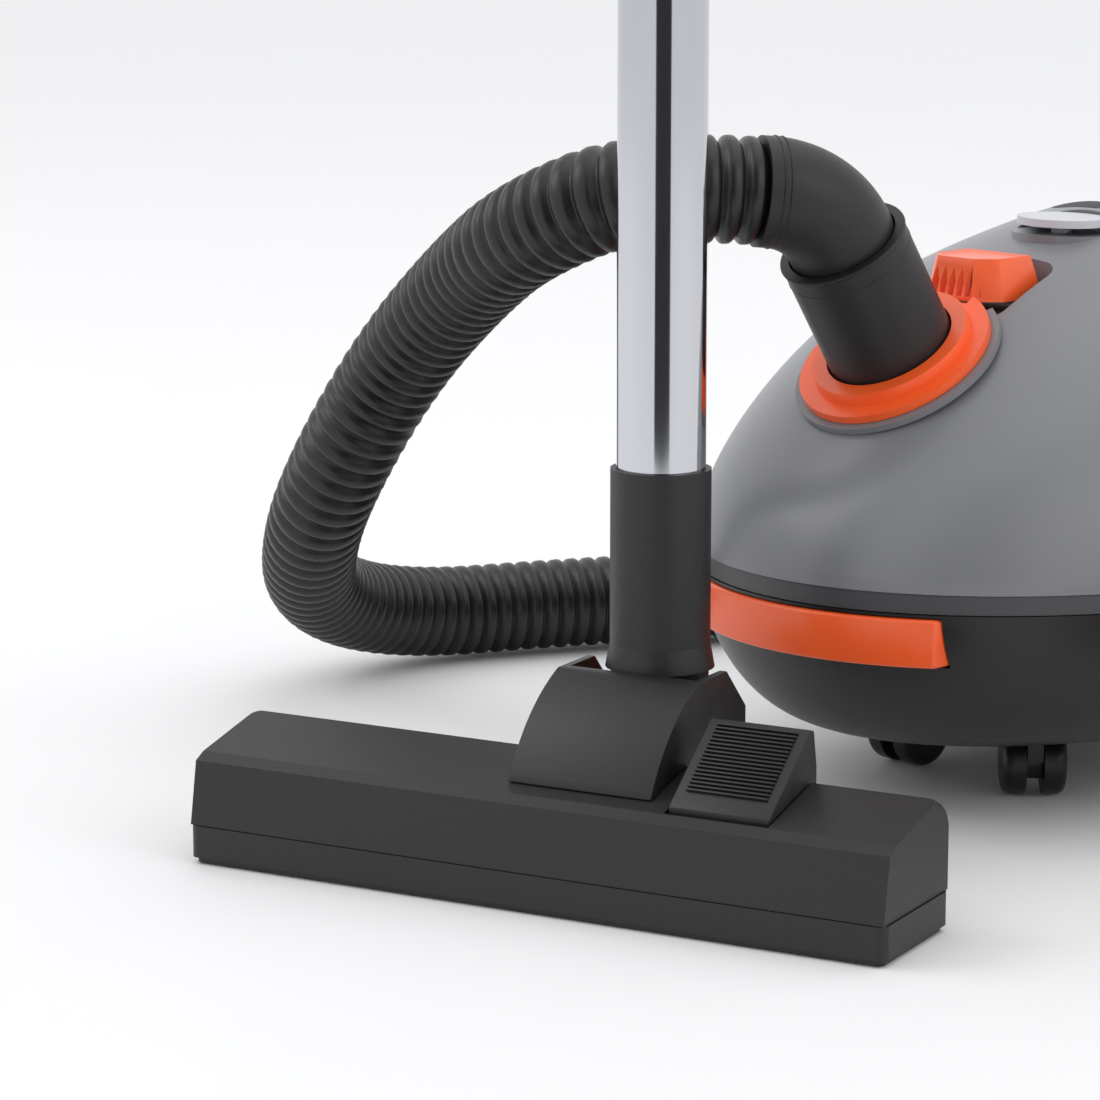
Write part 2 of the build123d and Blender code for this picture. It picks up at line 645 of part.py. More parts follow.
half = HEAD_LENGTH / 2
COVER_OUTLINE = ((0, HEAD_SEAM_Z), (4, 37), (9, 39.5), (44, 47.5), (49, 45), (HEAD_DEPTH, 37),
                 (HEAD_DEPTH, HEAD_SEAM_Z))
PEDAL_ALONG, PEDAL_W = 70, 38
with BuildPart() as head_cover:
    with BuildSketch(head_section(-half)):
        Polygon(*COVER_OUTLINE, align=None)
    extrude(amount=HEAD_LENGTH)
    ends = head_cover.faces().filter_by(lambda face: abs(face.normal_at().dot(head_way)) > 0.99)
    fillet(ends.edges().group_by(Axis.Z)[-1], 3)
    with BuildSketch(head_section(-half + WALL)):
        with BuildLine():
            Polyline((WALL, HEAD_SEAM_Z - 1), (6.5, 34.5), (11, 37), (43, 44.5), (HEAD_DEPTH - WALL - 3, 36),
                     (HEAD_DEPTH - WALL, HEAD_SEAM_Z - 1), close=True)
        make_face()
    extrude(amount=HEAD_LENGTH - 2 * WALL, mode=Mode.SUBTRACT)
    # slot for the pedal
    with BuildSketch(head_level(PEDAL_ALONG, 30, 20)):
        Rectangle(PEDAL_W + 1.6, 41)
    extrude(amount=40, mode=Mode.SUBTRACT)
    # mouth of the air way into the joint
    with BuildSketch(head_level(JOINT_ALONG, 36, 20)):
        Rectangle(30, 22)
    extrude(amount=40, mode=Mode.SUBTRACT)
keep(head_cover.part, "head_cover")

with BuildPart() as head_base:
    with BuildSketch(head_level(0, HEAD_DEPTH / 2, 2)):
        RectangleRounded(HEAD_LENGTH + 1.2, HEAD_DEPTH + 1.2, 4)
        Rectangle(HEAD_LENGTH - 8, HEAD_DEPTH - 8, mode=Mode.SUBTRACT)
    extrude(amount=HEAD_SEAM_Z - 2.2)
    with BuildSketch(head_level(0, HEAD_DEPTH / 2, 10)):
        Rectangle(HEAD_LENGTH - 7, HEAD_DEPTH - 7)
        Rectangle(HEAD_LENGTH - 30, 16, mode=Mode.SUBTRACT)
        for row in (-18.5, 18.5):
            with Locations((0, row)):
                Rectangle(HEAD_LENGTH - 18, 4.6, mode=Mode.SUBTRACT)
    extrude(amount=2)
keep(head_base.part, "head_base")
with BuildPart() as sole_plate:
    with BuildSketch(head_level(0, HEAD_DEPTH / 2, 0)):
        RectangleRounded(HEAD_LENGTH - 2, HEAD_DEPTH - 2, 3)
        Rectangle(HEAD_LENGTH - 30, 16, mode=Mode.SUBTRACT)
        for row in (-18.5, 18.5):
            with Locations((0, row)):
                Rectangle(HEAD_LENGTH - 18, 4.6, mode=Mode.SUBTRACT)
    extrude(amount=1.9)
keep(sole_plate.part, "sole_plate")

with BuildPart() as brush_frame:
    for row in (-18.5, 18.5):
        with BuildSketch(head_level(0, HEAD_DEPTH / 2 + row, 1.2)):
            Rectangle(HEAD_LENGTH - 22, 3.6)
        extrude(amount=17)
    with BuildSketch(head_level(0, HEAD_DEPTH / 2, 16)):
        for end in (-half + 14, half - 14):
            with Locations((end, 0)):
                Rectangle(4, 40)
    extrude(amount=2)
keep(brush_frame.part, "brush_frame")

# rocker pedal: a wedge that pivots on a rod under the cover
PEDAL_PIVOT = (30, 30)
with BuildPart() as brush_pedal:
    with BuildSketch(head_section(PEDAL_ALONG - PEDAL_W / 2)):
        Polygon((12, 34), (12, 41.5), (15, 44), (44, 66), (47, 65), (49.5, 52), (49.5, 34), align=None)
    extrude(amount=PEDAL_W)
    with BuildSketch(head_section(PEDAL_ALONG - PEDAL_W / 2)):
        with Locations(PEDAL_PIVOT):
            Circle(5)
            with Locations((0, 6)):
                Rectangle(8, 10)
    extrude(amount=PEDAL_W)
    with BuildSketch(head_section(PEDAL_ALONG - 40)):
        with Locations(PEDAL_PIVOT):
            Circle(2.05)
    extrude(amount=80, mode=Mode.SUBTRACT)
keep(brush_pedal.part, "brush_pedal")
pedal_u, pedal_v = PEDAL_PIVOT
keep(cylinder_between(head_point(PEDAL_ALONG - 26, pedal_u, pedal_v),
                      head_point(PEDAL_ALONG + 26, pedal_u, pedal_v), 2), "pedal_pin")

# pivot hood: a hollow wedge with a rounded front, open at the back and top for the neck
HOOD_W = 56
with BuildPart() as pivot_hood:
    for width, inset, mode in ((HOOD_W, 0, Mode.ADD), (HOOD_W - 6, 3, Mode.SUBTRACT)):
        with BuildSketch(head_section(JOINT_ALONG - width / 2)):
            with BuildLine():
                Polyline((70 + 2 * inset, 80 - inset), (90 + inset, 60), (90 + inset, 26 - 4 * inset),
                         (HEAD_DEPTH + 0.4 + inset, 26 - 4 * inset),
                         (HEAD_DEPTH + 0.4 + inset, 38 - 4 * inset),
                         (49.8, 45.8 - 4 * inset), (44.8, 48.2 - 4 * inset), (16 + 1.5 * inset, 41.4 - 4 * inset),
                         (16 + 1.5 * inset, 42 - inset))
                ThreePointArc((16 + 1.5 * inset, 42 - inset), (37 + inset, 67 - inset),
                              (70 + 2 * inset, 80 - inset))
            make_face()
        extrude(amount=width, mode=mode)
    # the way the neck goes through, upright and tipped back
    with BuildSketch(head_level(JOINT_ALONG, 95, 8)):
        Rectangle(HOOD_W - 6, 78)
    extrude(amount=90, mode=Mode.SUBTRACT)
keep(pivot_hood.part, "pivot_hood")

# ---------------------------------------------------------------- neck and wand
TILT_W = HOOD_W - 8
joint_at = head_point(JOINT_ALONG, JOINT_DEPTH, JOINT_Z)
with BuildPart() as neck_elbow:
    with BuildSketch(Plane(origin=joint_at - head_way * TILT_W / 2, x_dir=back_way, z_dir=head_way)):
        Circle(16.5)
    extrude(amount=TILT_W)
    with BuildSketch(head_level(JOINT_ALONG, JOINT_DEPTH, JOINT_Z)):
        Circle(NECK_R - 0.5)
    extrude(amount=NECK_BOTTOM_Z - JOINT_Z)
    with BuildSketch(head_level(JOINT_ALONG, JOINT_DEPTH, JOINT_Z)):
        Circle(12)
    extrude(amount=NECK_BOTTOM_Z + 12 - JOINT_Z)
    with BuildSketch(head_level(JOINT_ALONG, JOINT_DEPTH, JOINT_Z - 4)):
        Circle(9.5)
    extrude(amount=60, mode=Mode.SUBTRACT)
    with BuildSketch(Plane(origin=joint_at - head_way * TILT_W, x_dir=back_way, z_dir=head_way)):
        Circle(2.55)
    extrude(amount=2 * TILT_W, mode=Mode.SUBTRACT)
keep(neck_elbow.part, "neck_elbow")
keep(cylinder_between(joint_at - head_way * (HOOD_W / 2 - 3.1), joint_at - head_way * 10, 2.5), "tilt_pin_left")
keep(cylinder_between(joint_at + head_way * 10, joint_at + head_way * (HOOD_W / 2 - 3.1), 2.5), "tilt_pin_right")


def on_wand(height):
    """The level plane at that height, centred on the wand's axis."""
    return head_level(JOINT_ALONG, JOINT_DEPTH, height)


with BuildPart() as neck_socket:
    with BuildSketch(on_wand(NECK_BOTTOM_Z + 0.3)):
        Circle(NECK_R + 1.6)
    with BuildSketch(on_wand(NECK_BOTTOM_Z + 9)):
        Circle(NECK_R)
    loft()
    with BuildSketch(on_wand(NECK_BOTTOM_Z + 9)):
        Circle(NECK_R)
    extrude(amount=NECK_TOP_Z - NECK_BOTTOM_Z - 9)
    with BuildSketch(on_wand(NECK_BOTTOM_Z)):
        Circle(12.3)
    extrude(amount=100, mode=Mode.SUBTRACT)
    with BuildSketch(on_wand(NECK_TOP_Z - 38)):
        Circle(WAND_R)
    extrude(amount=100, mode=Mode.SUBTRACT)
keep(neck_socket.part, "neck_socket")

WAND_BORE_R = 15.1
with BuildPart() as wand_tube:
    with BuildSketch(on_wand(NECK_TOP_Z - 37.9)):
        Circle(WAND_R - 0.05)
        Circle(WAND_BORE_R, mode=Mode.SUBTRACT)
    extrude(amount=WAND_TOP_Z - NECK_TOP_Z + 37.9)
keep(wand_tube.part, "wand_tube")
INNER_TUBE_R = WAND_BORE_R - 0.35
with BuildPart() as inner_tube:
    with BuildSketch(on_wand(260)):
        Circle(INNER_TUBE_R)
        Circle(INNER_TUBE_R - 1, mode=Mode.SUBTRACT)
    extrude(amount=INNER_TUBE_TOP_Z - 260)
keep(inner_tube.part, "inner_tube")
with BuildPart() as lock_sleeve:
    with BuildSketch(on_wand(WAND_TOP_Z - 46)):
        Circle(19.5)
        Circle(WAND_R + 0.05, mode=Mode.SUBTRACT)
    extrude(amount=46)
    with BuildSketch(on_wand(WAND_TOP_Z)):
        Circle(19.5)
        Circle(INNER_TUBE_R + 0.35, mode=Mode.SUBTRACT)
    extrude(amount=10)
    with BuildSketch(head_level(JOINT_ALONG, JOINT_DEPTH - 18.6, WAND_TOP_Z - 36)):
        Rectangle(12.6, 4)
    extrude(amount=24, mode=Mode.SUBTRACT)
keep(lock_sleeve.part, "lock_sleeve")
with BuildPart() as lock_button:
    with BuildSketch(head_level(JOINT_ALONG, JOINT_DEPTH - 19.2, WAND_TOP_Z - 31)):
        Rectangle(12, 4.4)
    extrude(amount=14)
keep(lock_button.part, "lock_button")
print("joint at", joint_at, "head way", head_way, "back way", back_way)
print("pedal pivot", head_point(PEDAL_ALONG, *PEDAL_PIVOT))
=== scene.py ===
import json
from math import atan2, cos, radians, sin

import bpy
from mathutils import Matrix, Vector

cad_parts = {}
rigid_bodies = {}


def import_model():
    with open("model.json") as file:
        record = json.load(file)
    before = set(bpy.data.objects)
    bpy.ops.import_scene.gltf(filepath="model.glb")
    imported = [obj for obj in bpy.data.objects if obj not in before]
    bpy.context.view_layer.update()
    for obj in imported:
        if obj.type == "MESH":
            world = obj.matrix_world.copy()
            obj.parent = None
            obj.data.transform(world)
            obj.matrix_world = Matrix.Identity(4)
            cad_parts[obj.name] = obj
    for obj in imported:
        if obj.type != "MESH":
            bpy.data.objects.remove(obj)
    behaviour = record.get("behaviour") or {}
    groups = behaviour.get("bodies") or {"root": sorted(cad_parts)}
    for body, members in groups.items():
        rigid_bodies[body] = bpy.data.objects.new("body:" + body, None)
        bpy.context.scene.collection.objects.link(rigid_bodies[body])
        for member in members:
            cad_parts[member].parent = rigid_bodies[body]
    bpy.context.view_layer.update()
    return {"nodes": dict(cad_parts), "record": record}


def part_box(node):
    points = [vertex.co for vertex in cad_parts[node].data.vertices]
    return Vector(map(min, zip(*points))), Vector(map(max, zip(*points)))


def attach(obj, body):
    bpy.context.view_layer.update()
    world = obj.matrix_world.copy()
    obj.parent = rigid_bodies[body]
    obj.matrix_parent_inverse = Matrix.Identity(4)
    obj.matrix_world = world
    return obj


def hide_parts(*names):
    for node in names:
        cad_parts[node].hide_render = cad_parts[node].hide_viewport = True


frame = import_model()
print("CAD nodes", len(frame["nodes"]))

# %% [markdown]
# ## Where things are
# The drawing was made round the canister's nose, and the whole part was then moved so that
# the middle of its footprint is the origin. A place in the drawing's millimetres is turned
# into a place in metres here, once, so that every piece below can use the drawing's numbers.

# %% Places in metres
FOOTPRINT_X, FOOTPRINT_Y = 11.504, -33.461
MM = 0.001


def place(x, y, z):
    """A point of the drawing, in millimetres, as a place in metres."""
    return Vector(((x - FOOTPRINT_X) * MM, (y - FOOTPRINT_Y) * MM, z * MM))


HEAD_CORNER = place(20, -249, 0)
HEAD_TURN = radians(18.7)

# %% [markdown]
# ## The camera
# A product picture is taken from a little above with a long lens, so that upright edges stay
# nearly parallel. A camera can be aimed by a target object, but a direction turned into a
# rotation with to_track_quat is plain to read and leaves nothing else in the scene.

# %% Camera
camera_data = bpy.data.cameras.new("studio_camera")
camera_data.lens = 130.25
camera_data.sensor_width = 36
camera = bpy.data.objects.new("studio_camera", camera_data)
bpy.context.scene.collection.objects.link(camera)
camera.location = (0.9954, -1.1072, 0.3865)
LOOK_DOWN = radians(11)
look = Vector((-0.737 * cos(LOOK_DOWN), 0.676 * cos(LOOK_DOWN), -sin(LOOK_DOWN)))
camera.rotation_mode = "QUATERNION"
camera.rotation_quaternion = look.to_track_quat("-Z", "Y")
camera_data.clip_end = 60
bpy.context.scene.camera = camera
print("camera looks along", [round(part, 3) for part in look])

# %% [markdown]
# ## The path of the hose
# The suction hose is one bendy tube. It leaves the swivel elbow, drops to the floor on the
# left and goes once round the back of the canister, as it does when the cleaner is put away.
# A NURBS curve of order 3 runs smoothly between its control points, so few points give a path
# without kinks, and its length can be read from the mesh that Blender makes of it.

# %% Hose path
ELBOW_END = Vector((-12.158, -102.855, 237.770))
HOSE_WAY = Vector((-0.516337, -0.851706, 0.089402))
STRAIGHT_RUN = 44
hose_points = [ELBOW_END, ELBOW_END + HOSE_WAY * STRAIGHT_RUN]
hose_points += [Vector(point) for point in (
    (-84, -152, 222), (-138, -134, 196), (-184, -128, 161), (-212, -134, 121),
    (-248, -124, 81), (-296, -86, 43), (-314, -20, 20.4), (-286, 54, 20.4),
    (-246, 128, 20.4), (-224, 206, 20.4), (-176, 272, 20.4), (-100, 316, 20.4),
    (-10, 332, 20.4), (80, 322, 20.4), (158, 282, 20.4), (208, 214, 20.6),
    (228, 132, 22.4), (230, 62, 24.2))]
route_data = bpy.data.curves.new("hose_route", "CURVE")
route_data.dimensions = "3D"
route_data.resolution_u = 20
spline = route_data.splines.new("NURBS")
spline.points.add(len(hose_points) - 1)
for knot, point in zip(spline.points, hose_points):
    knot.co = (*place(*point), 1)
spline.order_u = 3
spline.use_endpoint_u = True
route = bpy.data.objects.new("hose_route", route_data)
bpy.context.scene.collection.objects.link(route)
bpy.context.view_layer.update()
drawn = bpy.data.meshes.new_from_object(route.evaluated_get(bpy.context.evaluated_depsgraph_get()))
hose_path = [vertex.co.copy() for vertex in drawn.vertices]
bpy.data.meshes.remove(drawn)
hose_length = sum((b - a).length for a, b in zip(hose_path, hose_path[1:]))
print("hose is", round(hose_length, 4), "m along", len(hose_path), "points")

# %% [markdown]
# ## Small helpers for modelling
# An operator works on everything that is selected, and the CAD nodes come in selected. So each
# piece starts with nothing selected. A finished piece has its place in its mesh, its object at
# the origin, and it rides on one of the bodies of the mechanism.

# %% Modelling helpers
def start_fresh():
    """Leaves edit mode and deselects everything."""
    if bpy.context.object and bpy.context.object.mode != "OBJECT":
        bpy.ops.object.mode_set(mode="OBJECT")
    bpy.ops.object.select_all(action="DESELECT")


def set_down(piece):
    """Puts the piece's place, turn and size into its mesh."""
    start_fresh()
    piece.select_set(True)
    bpy.context.view_layer.objects.active = piece
    bpy.ops.object.transform_apply(location=True, rotation=True, scale=True)


def add_modifier(piece, kind, **settings):
    """Adds one modifier with its settings and applies it."""
    modifier = piece.modifiers.new(kind.lower(), kind)
    for name, value in settings.items():
        setattr(modifier, name, value)
    start_fresh()
    piece.select_set(True)
    bpy.context.view_layer.objects.active = piece
    bpy.ops.object.modifier_apply(modifier=modifier.name)


def face_outwards(piece, smooth_angle=35):
    """Merges doubles, turns the faces outwards and smooths all but the sharp edges."""
    start_fresh()
    piece.select_set(True)
    bpy.context.view_layer.objects.active = piece
    bpy.ops.object.mode_set(mode="EDIT")
    bpy.ops.mesh.select_all(action="SELECT")
    bpy.ops.mesh.remove_doubles(threshold=0.00001)
    bpy.ops.mesh.normals_make_consistent(inside=False)
    bpy.ops.object.mode_set(mode="OBJECT")
    bpy.ops.object.shade_smooth_by_angle(angle=radians(smooth_angle))


# %% [markdown]
# ## Shader sums written as Python
# A finish is a network of small nodes. Writing each Math node by hand hides the sum, so one
# class wraps a socket and lets it be added, taken away and multiplied as in Python. Any other
# node comes from one method, which takes its type, its settings and the values of its sockets.

# %% Wires and finishes
class Wire:
    """One output socket, on which sums are written as in Python."""

    def __init__(self, finish, socket):
        self.finish, self.socket = finish, socket

    def sum(self, operation, first, second):
        return self.finish.node("ShaderNodeMath", {"operation": operation}, {0: first, 1: second})

    def __add__(self, other):
        return self.sum("ADD", self, other)

    __radd__ = __add__

    def __mul__(self, other):
        return self.sum("MULTIPLY", self, other)

    __rmul__ = __mul__

    def __sub__(self, other):
        return self.sum("SUBTRACT", self, other)

    def __rsub__(self, other):
        return self.sum("SUBTRACT", other, self)


class Finish:
    """One material with a Principled shader."""

    def __init__(self, name):
        self.material = bpy.data.materials.new(name)
        self.material.use_nodes = True
        self.tree = self.material.node_tree
        self.shader = next(n for n in self.tree.nodes if n.type == "BSDF_PRINCIPLED")
        self.place = self.node("ShaderNodeTexCoord", {}, {}, "Object")

    def plug(self, socket, value):
        if isinstance(value, Wire):
            self.tree.links.new(value.socket, socket)
        else:
            socket.default_value = value

    def node(self, kind, settings, sockets, output=0):
        made = self.tree.nodes.new(kind)
        for name, value in settings.items():
            setattr(made, name, value)
        for name, value in sockets.items():
            self.plug(made.inputs[name], value)
        return Wire(self, made.outputs[output])

    def shade(self, **sockets):
        for name, value in sockets.items():
            self.plug(self.shader.inputs[name.replace("_", " ")], value)
        return self.material

    def clouds(self, scale, detail=3.0, stretch=(1, 1, 1)):
        spread = self.node("ShaderNodeMapping", {}, {"Vector": self.place, "Scale": stretch})
        return self.node("ShaderNodeTexNoise", {}, {"Vector": spread, "Scale": scale,
                                                    "Detail": detail})

    def between(self, dark, light, factor):
        """A colour between two colours."""
        made = self.tree.nodes.new("ShaderNodeMix")
        made.data_type = "RGBA"
        self.plug(made.inputs["Factor"], factor)
        made.inputs[6].default_value = (*dark, 1)
        made.inputs[7].default_value = (*light, 1)
        return Wire(self, made.outputs[2])

    def relief(self, height, depth, strength=1.0):
        return self.node("ShaderNodeBump", {}, {"Height": height, "Distance": depth,
                                                "Strength": strength}, "Normal")


# %% [markdown]
# ## Moulded plastic
# Nearly everything outside is injection-moulded plastic. The mould leaves a fine spark-eroded
# grain on the dark parts and a smoother satin on the shell. Both are never one flat colour: a
# broad cloud lightens and darkens the colour a little and the fine grain breaks the gloss.

# %% Plastic
def plastic(name, colour, rough, grain=900.0, depth=0.00006, spread=0.06, coat=0.0):
    """Moulded plastic with a broad cloud in its colour and a fine grain on its skin."""
    finish = Finish(name)
    cloud = finish.clouds(9.0)
    skin = finish.clouds(grain, 2.0)
    dark = tuple(part * (1 - spread) for part in colour)
    light = tuple(part * (1 + spread) for part in colour)
    return finish.shade(
        Base_Color=finish.between(dark, light, cloud),
        Roughness=rough + (skin - 0.5) * 0.12 + (cloud - 0.5) * 0.06,
        Normal=finish.relief(skin, depth),
        Coat_Weight=coat, Coat_Roughness=0.25)


# %% [markdown]
# ## Metal, rubber, cloth and card
# The wand is chromed tube: almost a mirror, with faint wipe marks along it. Steel pins are
# brushed along their length. Rubber is dark and dull, and the bag and filters are fibre, which
# shows as a soft mottled bump.

# %% Metal and fibre
def metal(name, colour, rough, along=(1, 1, 0.03), scale=320.0, depth=0.000004):
    """Polished or brushed metal, with its marks drawn out along one direction."""
    finish = Finish(name)
    marks = finish.clouds(scale, 3.0, along)
    wipe = finish.clouds(6.0)
    dark = tuple(part * 0.94 for part in colour)
    return finish.shade(
        Base_Color=finish.between(dark, colour, wipe), Metallic=1.0,
        Roughness=rough + (marks - 0.5) * rough * 0.7 + (wipe - 0.5) * rough * 0.4,
        Normal=finish.relief(marks, depth))


def fibre(name, colour, scale, depth):
    """Paper, felt or bristle: a mottled colour and a soft bump."""
    finish = Finish(name)
    nap = finish.clouds(scale, 6.0)
    dark = tuple(part * 0.8 for part in colour)
    return finish.shade(Base_Color=finish.between(dark, colour, nap),
                        Roughness=0.82 + (nap - 0.5) * 0.15, Normal=finish.relief(nap, depth))


# %% [markdown]
# ## One finish for each slot
# The record gives every node a material slot by name. A dictionary with the same names holds
# the finishes, so one loop can hand them out and no node is forgotten.

# %% One finish for each slot
FINISHES = {
    "grey_shell": plastic("grey_shell", (0.185, 0.188, 0.202), 0.33, 1400, 0.00002, 0.03, 0.15),
    "dark_band": plastic("dark_band", (0.055, 0.056, 0.060), 0.42),
    "black_base": plastic("black_base", (0.007, 0.007, 0.0075), 0.36, 1100, 0.00004),
    "orange": plastic("orange", (0.93, 0.115, 0.020), 0.34, 1300, 0.00002, 0.04, 0.2),
    "button_grey": plastic("button_grey", (0.56, 0.57, 0.60), 0.36, 1300, 0.00002, 0.03),
    "head_black": plastic("head_black", (0.0095, 0.0095, 0.0105), 0.46, 1000, 0.00008),
    "hose_black": plastic("hose_black", (0.0055, 0.0055, 0.006), 0.36, 700, 0.00003),
    "soft_rubber": plastic("soft_rubber", (0.016, 0.016, 0.016), 0.68, 500, 0.00008),
    "tyre_rubber": plastic("tyre_rubber", (0.014, 0.014, 0.014), 0.62, 420, 0.0001),
    "inner_plastic": plastic("inner_plastic", (0.62, 0.62, 0.60), 0.45),
    "board_green": plastic("board_green", (0.02, 0.14, 0.05), 0.4, 300, 0.00005, 0.2),
    "chrome_tube": metal("chrome_tube", (0.60, 0.61, 0.64), 0.09),
    "steel": metal("steel", (0.56, 0.56, 0.58), 0.26, (1, 1, 1), 500, 0.00001),
    "motor_metal": metal("motor_metal", (0.60, 0.61, 0.63), 0.38, (1, 1, 1), 300, 0.00003),
    "copper_stack": metal("copper_stack", (0.42, 0.17, 0.07), 0.40, (1, 30, 1), 90, 0.00003),
    "filter_cloth": fibre("filter_cloth", (0.80, 0.80, 0.77), 420, 0.0004),
    "bag_paper": fibre("bag_paper", (0.72, 0.64, 0.50), 160, 0.0005),
    "bristle": fibre("bristle", (0.030, 0.030, 0.032), 900, 0.0009),
}
for row in frame["record"]["subparts"]:
    node = bpy.data.objects[row["node"]]
    for holder in node.material_slots:
        holder.material = FINISHES[row["material_slot"]]
print("finishes", len(FINISHES))


def finish_piece(piece, name, body, slot):
    """Names a new piece, gives it its finish and lets it ride on a body."""
    piece.name = name
    piece.data.name = name
    piece.data.materials.clear()
    piece.data.materials.append(FINISHES[slot])
    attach(piece, body)
    print(name, "has", len(piece.data.polygons), "faces")


# %% [markdown]
# ## The ribbed hose
# The real hose is a thin wall wound with a stiff rounded rib, which lets it bend. One rib is
# drawn as a ring that is extruded and widened in small steps, an Array repeats it for the whole
# length, and a Curve modifier lays the straight stack along the path. Modelling each bend by
# hand would give the same look for far more work.

# %% Hose
RIB_PITCH = 0.0076
HOSE_R, VALLEY_R = 0.0200, 0.0172
RIB_STEPS = ((0.0008, 0.0174), (0.0010, 0.0190), (0.0011, 0.0198), (0.0018, HOSE_R),
             (0.0011, 0.0198), (0.0010, 0.0190), (0.0008, VALLEY_R))
start_fresh()
bpy.ops.mesh.primitive_circle_add(vertices=28, radius=VALLEY_R, location=(0, 0, 0))
ribbed = bpy.context.object
bpy.ops.object.mode_set(mode="EDIT")
bpy.ops.mesh.select_all(action="SELECT")
radius_now = VALLEY_R
for rise, radius in RIB_STEPS:
    bpy.ops.mesh.extrude_region_move(TRANSFORM_OT_translate={"value": (0, 0, rise)})
    grow = radius / radius_now
    bpy.ops.transform.resize(value=(grow, grow, 1))
    radius_now = radius
bpy.ops.object.mode_set(mode="OBJECT")
add_modifier(ribbed, "ARRAY", count=int(hose_length / RIB_PITCH), use_relative_offset=False,
             use_constant_offset=True, constant_offset_displace=(0, 0, RIB_PITCH),
             use_merge_vertices=True, merge_threshold=0.0001)
add_modifier(ribbed, "CURVE", object=route, deform_axis="POS_Z")
start_fresh()
ribbed.select_set(True)
bpy.context.view_layer.objects.active = ribbed
bpy.ops.object.mode_set(mode="EDIT")
bpy.ops.mesh.select_all(action="DESELECT")
bpy.ops.mesh.select_mode(type="EDGE")
bpy.ops.mesh.select_non_manifold(extend=False)
bpy.ops.mesh.edge_face_add()
bpy.ops.object.mode_set(mode="OBJECT")
face_outwards(ribbed, 80)
finish_piece(ribbed, "ribbed_hose", "canister", "hose_black")
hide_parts("hose")
bpy.data.objects.remove(route)

# %% [markdown]
# ## Softened mouldings
# No moulding leaves its mould with a knife edge. The pivot hood, the latch and the pedal are
# copied from their CAD nodes, loose triangles are merged into one skin, and a Bevel modifier
# rounds every edge sharper than 30 degrees, which takes nothing off the outer size. The hood's
# two ears, which stand up beside the neck, are cut level before its edges are rounded.

# %% Rounded copies
HOOD_CUT_Z = 75.5


def soften(node, name, body, slot, width, cut_height=None):
    """Replaces a CAD node with a copy of it that has rounded edges."""
    start_fresh()
    source = bpy.data.objects[node]
    copy = bpy.data.objects.new(name, source.data.copy())
    bpy.context.scene.collection.objects.link(copy)
    copy.select_set(True)
    bpy.context.view_layer.objects.active = copy
    bpy.ops.object.mode_set(mode="EDIT")
    bpy.ops.mesh.select_all(action="SELECT")
    bpy.ops.mesh.remove_doubles(threshold=0.00001)
    bpy.ops.mesh.dissolve_limited(angle_limit=radians(1.5))
    if cut_height:
        bpy.ops.mesh.select_all(action="SELECT")
        bpy.ops.mesh.bisect(plane_co=(0, 0, cut_height * MM), plane_no=(0, 0, 1),
                            use_fill=True, clear_outer=True)
    bpy.ops.object.mode_set(mode="OBJECT")
    add_modifier(copy, "BEVEL", width=width * MM, segments=3, limit_method="ANGLE")
    face_outwards(copy, 30)
    finish_piece(copy, name, body, slot)
    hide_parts(node)


soften("pivot_hood", "rounded_hood", "floor_head", "head_black", 0.9, HOOD_CUT_Z)
soften("front_latch", "rounded_latch", "latch", "orange", 1.4)
soften("brush_pedal", "rounded_pedal", "pedal", "head_black", 0.8)

# %% [markdown]
# ## The tread of the foot pedal
# The foot presses a sloping pedal whose face carries fine cross ribs, so that a shoe does not
# slip. One rib is a thin bar with its top edges rounded. An Array repeats it up the slope, and
# the set is turned to the slope and then with the floor head.

# %% Pedal tread
PEDAL_ALONG, TREAD_ROWS, TREAD_PITCH = 70, 18, 1.75
BAR_SIZE = (31 * MM, 0.9 * MM, 1.1 * MM)
FOOT_MARGIN, BAR_LIFT = 4.0, 0.5
TREAD_FOOT, TREAD_TOP = Vector((15, 44)), Vector((44, 66))
slope = TREAD_TOP - TREAD_FOOT
start_fresh()
bpy.ops.mesh.primitive_cube_add(size=1, location=(0, 0, 0))
tread = bpy.context.object
tread.scale = BAR_SIZE
set_down(tread)
add_modifier(tread, "BEVEL", width=0.0003, segments=2)
add_modifier(tread, "ARRAY", count=TREAD_ROWS, use_relative_offset=False,
             use_constant_offset=True, constant_offset_displace=(0, TREAD_PITCH * MM, 0))

def lay_on_pedal(piece, along_slope, lift):
    """Turns a flat piece to the pedal's slope and then with the floor head."""
    piece.rotation_euler = (atan2(slope.y, slope.x), 0, 0)
    way = slope.normalized()
    spot = TREAD_FOOT + way * along_slope + Vector((-way.y, way.x)) * lift
    piece.location = (PEDAL_ALONG * MM, spot.x * MM, spot.y * MM)
    set_down(piece)
    piece.rotation_euler = (0, 0, HEAD_TURN)
    piece.location = HEAD_CORNER
    set_down(piece)


lay_on_pedal(tread, FOOT_MARGIN, BAR_LIFT)
face_outwards(tread)
finish_piece(tread, "pedal_tread", "pedal", "head_black")

# %% [markdown]
# ## The speed knob
# The orange knob slides under the thumb, and its front is cut with wedge grooves for grip. The
# knob starts as a block whose top is drawn in. A small tapered cutter is repeated across the
# front, and a Boolean takes the grooves out of the block in one step.

# %% Knob with grooves
KNOB_MIDDLE = place(0, 5, 199)
KNOB_SIZE = (39.2 * MM, 31.2 * MM, 16 * MM)
KNOB_CHAMFER, KNOB_DRAW_IN = 0.0085, 0.80
GROOVES, GROOVE_PITCH = 7, 0.0042
FIRST_GROOVE = place(-12.6, -9.2, 199.2)


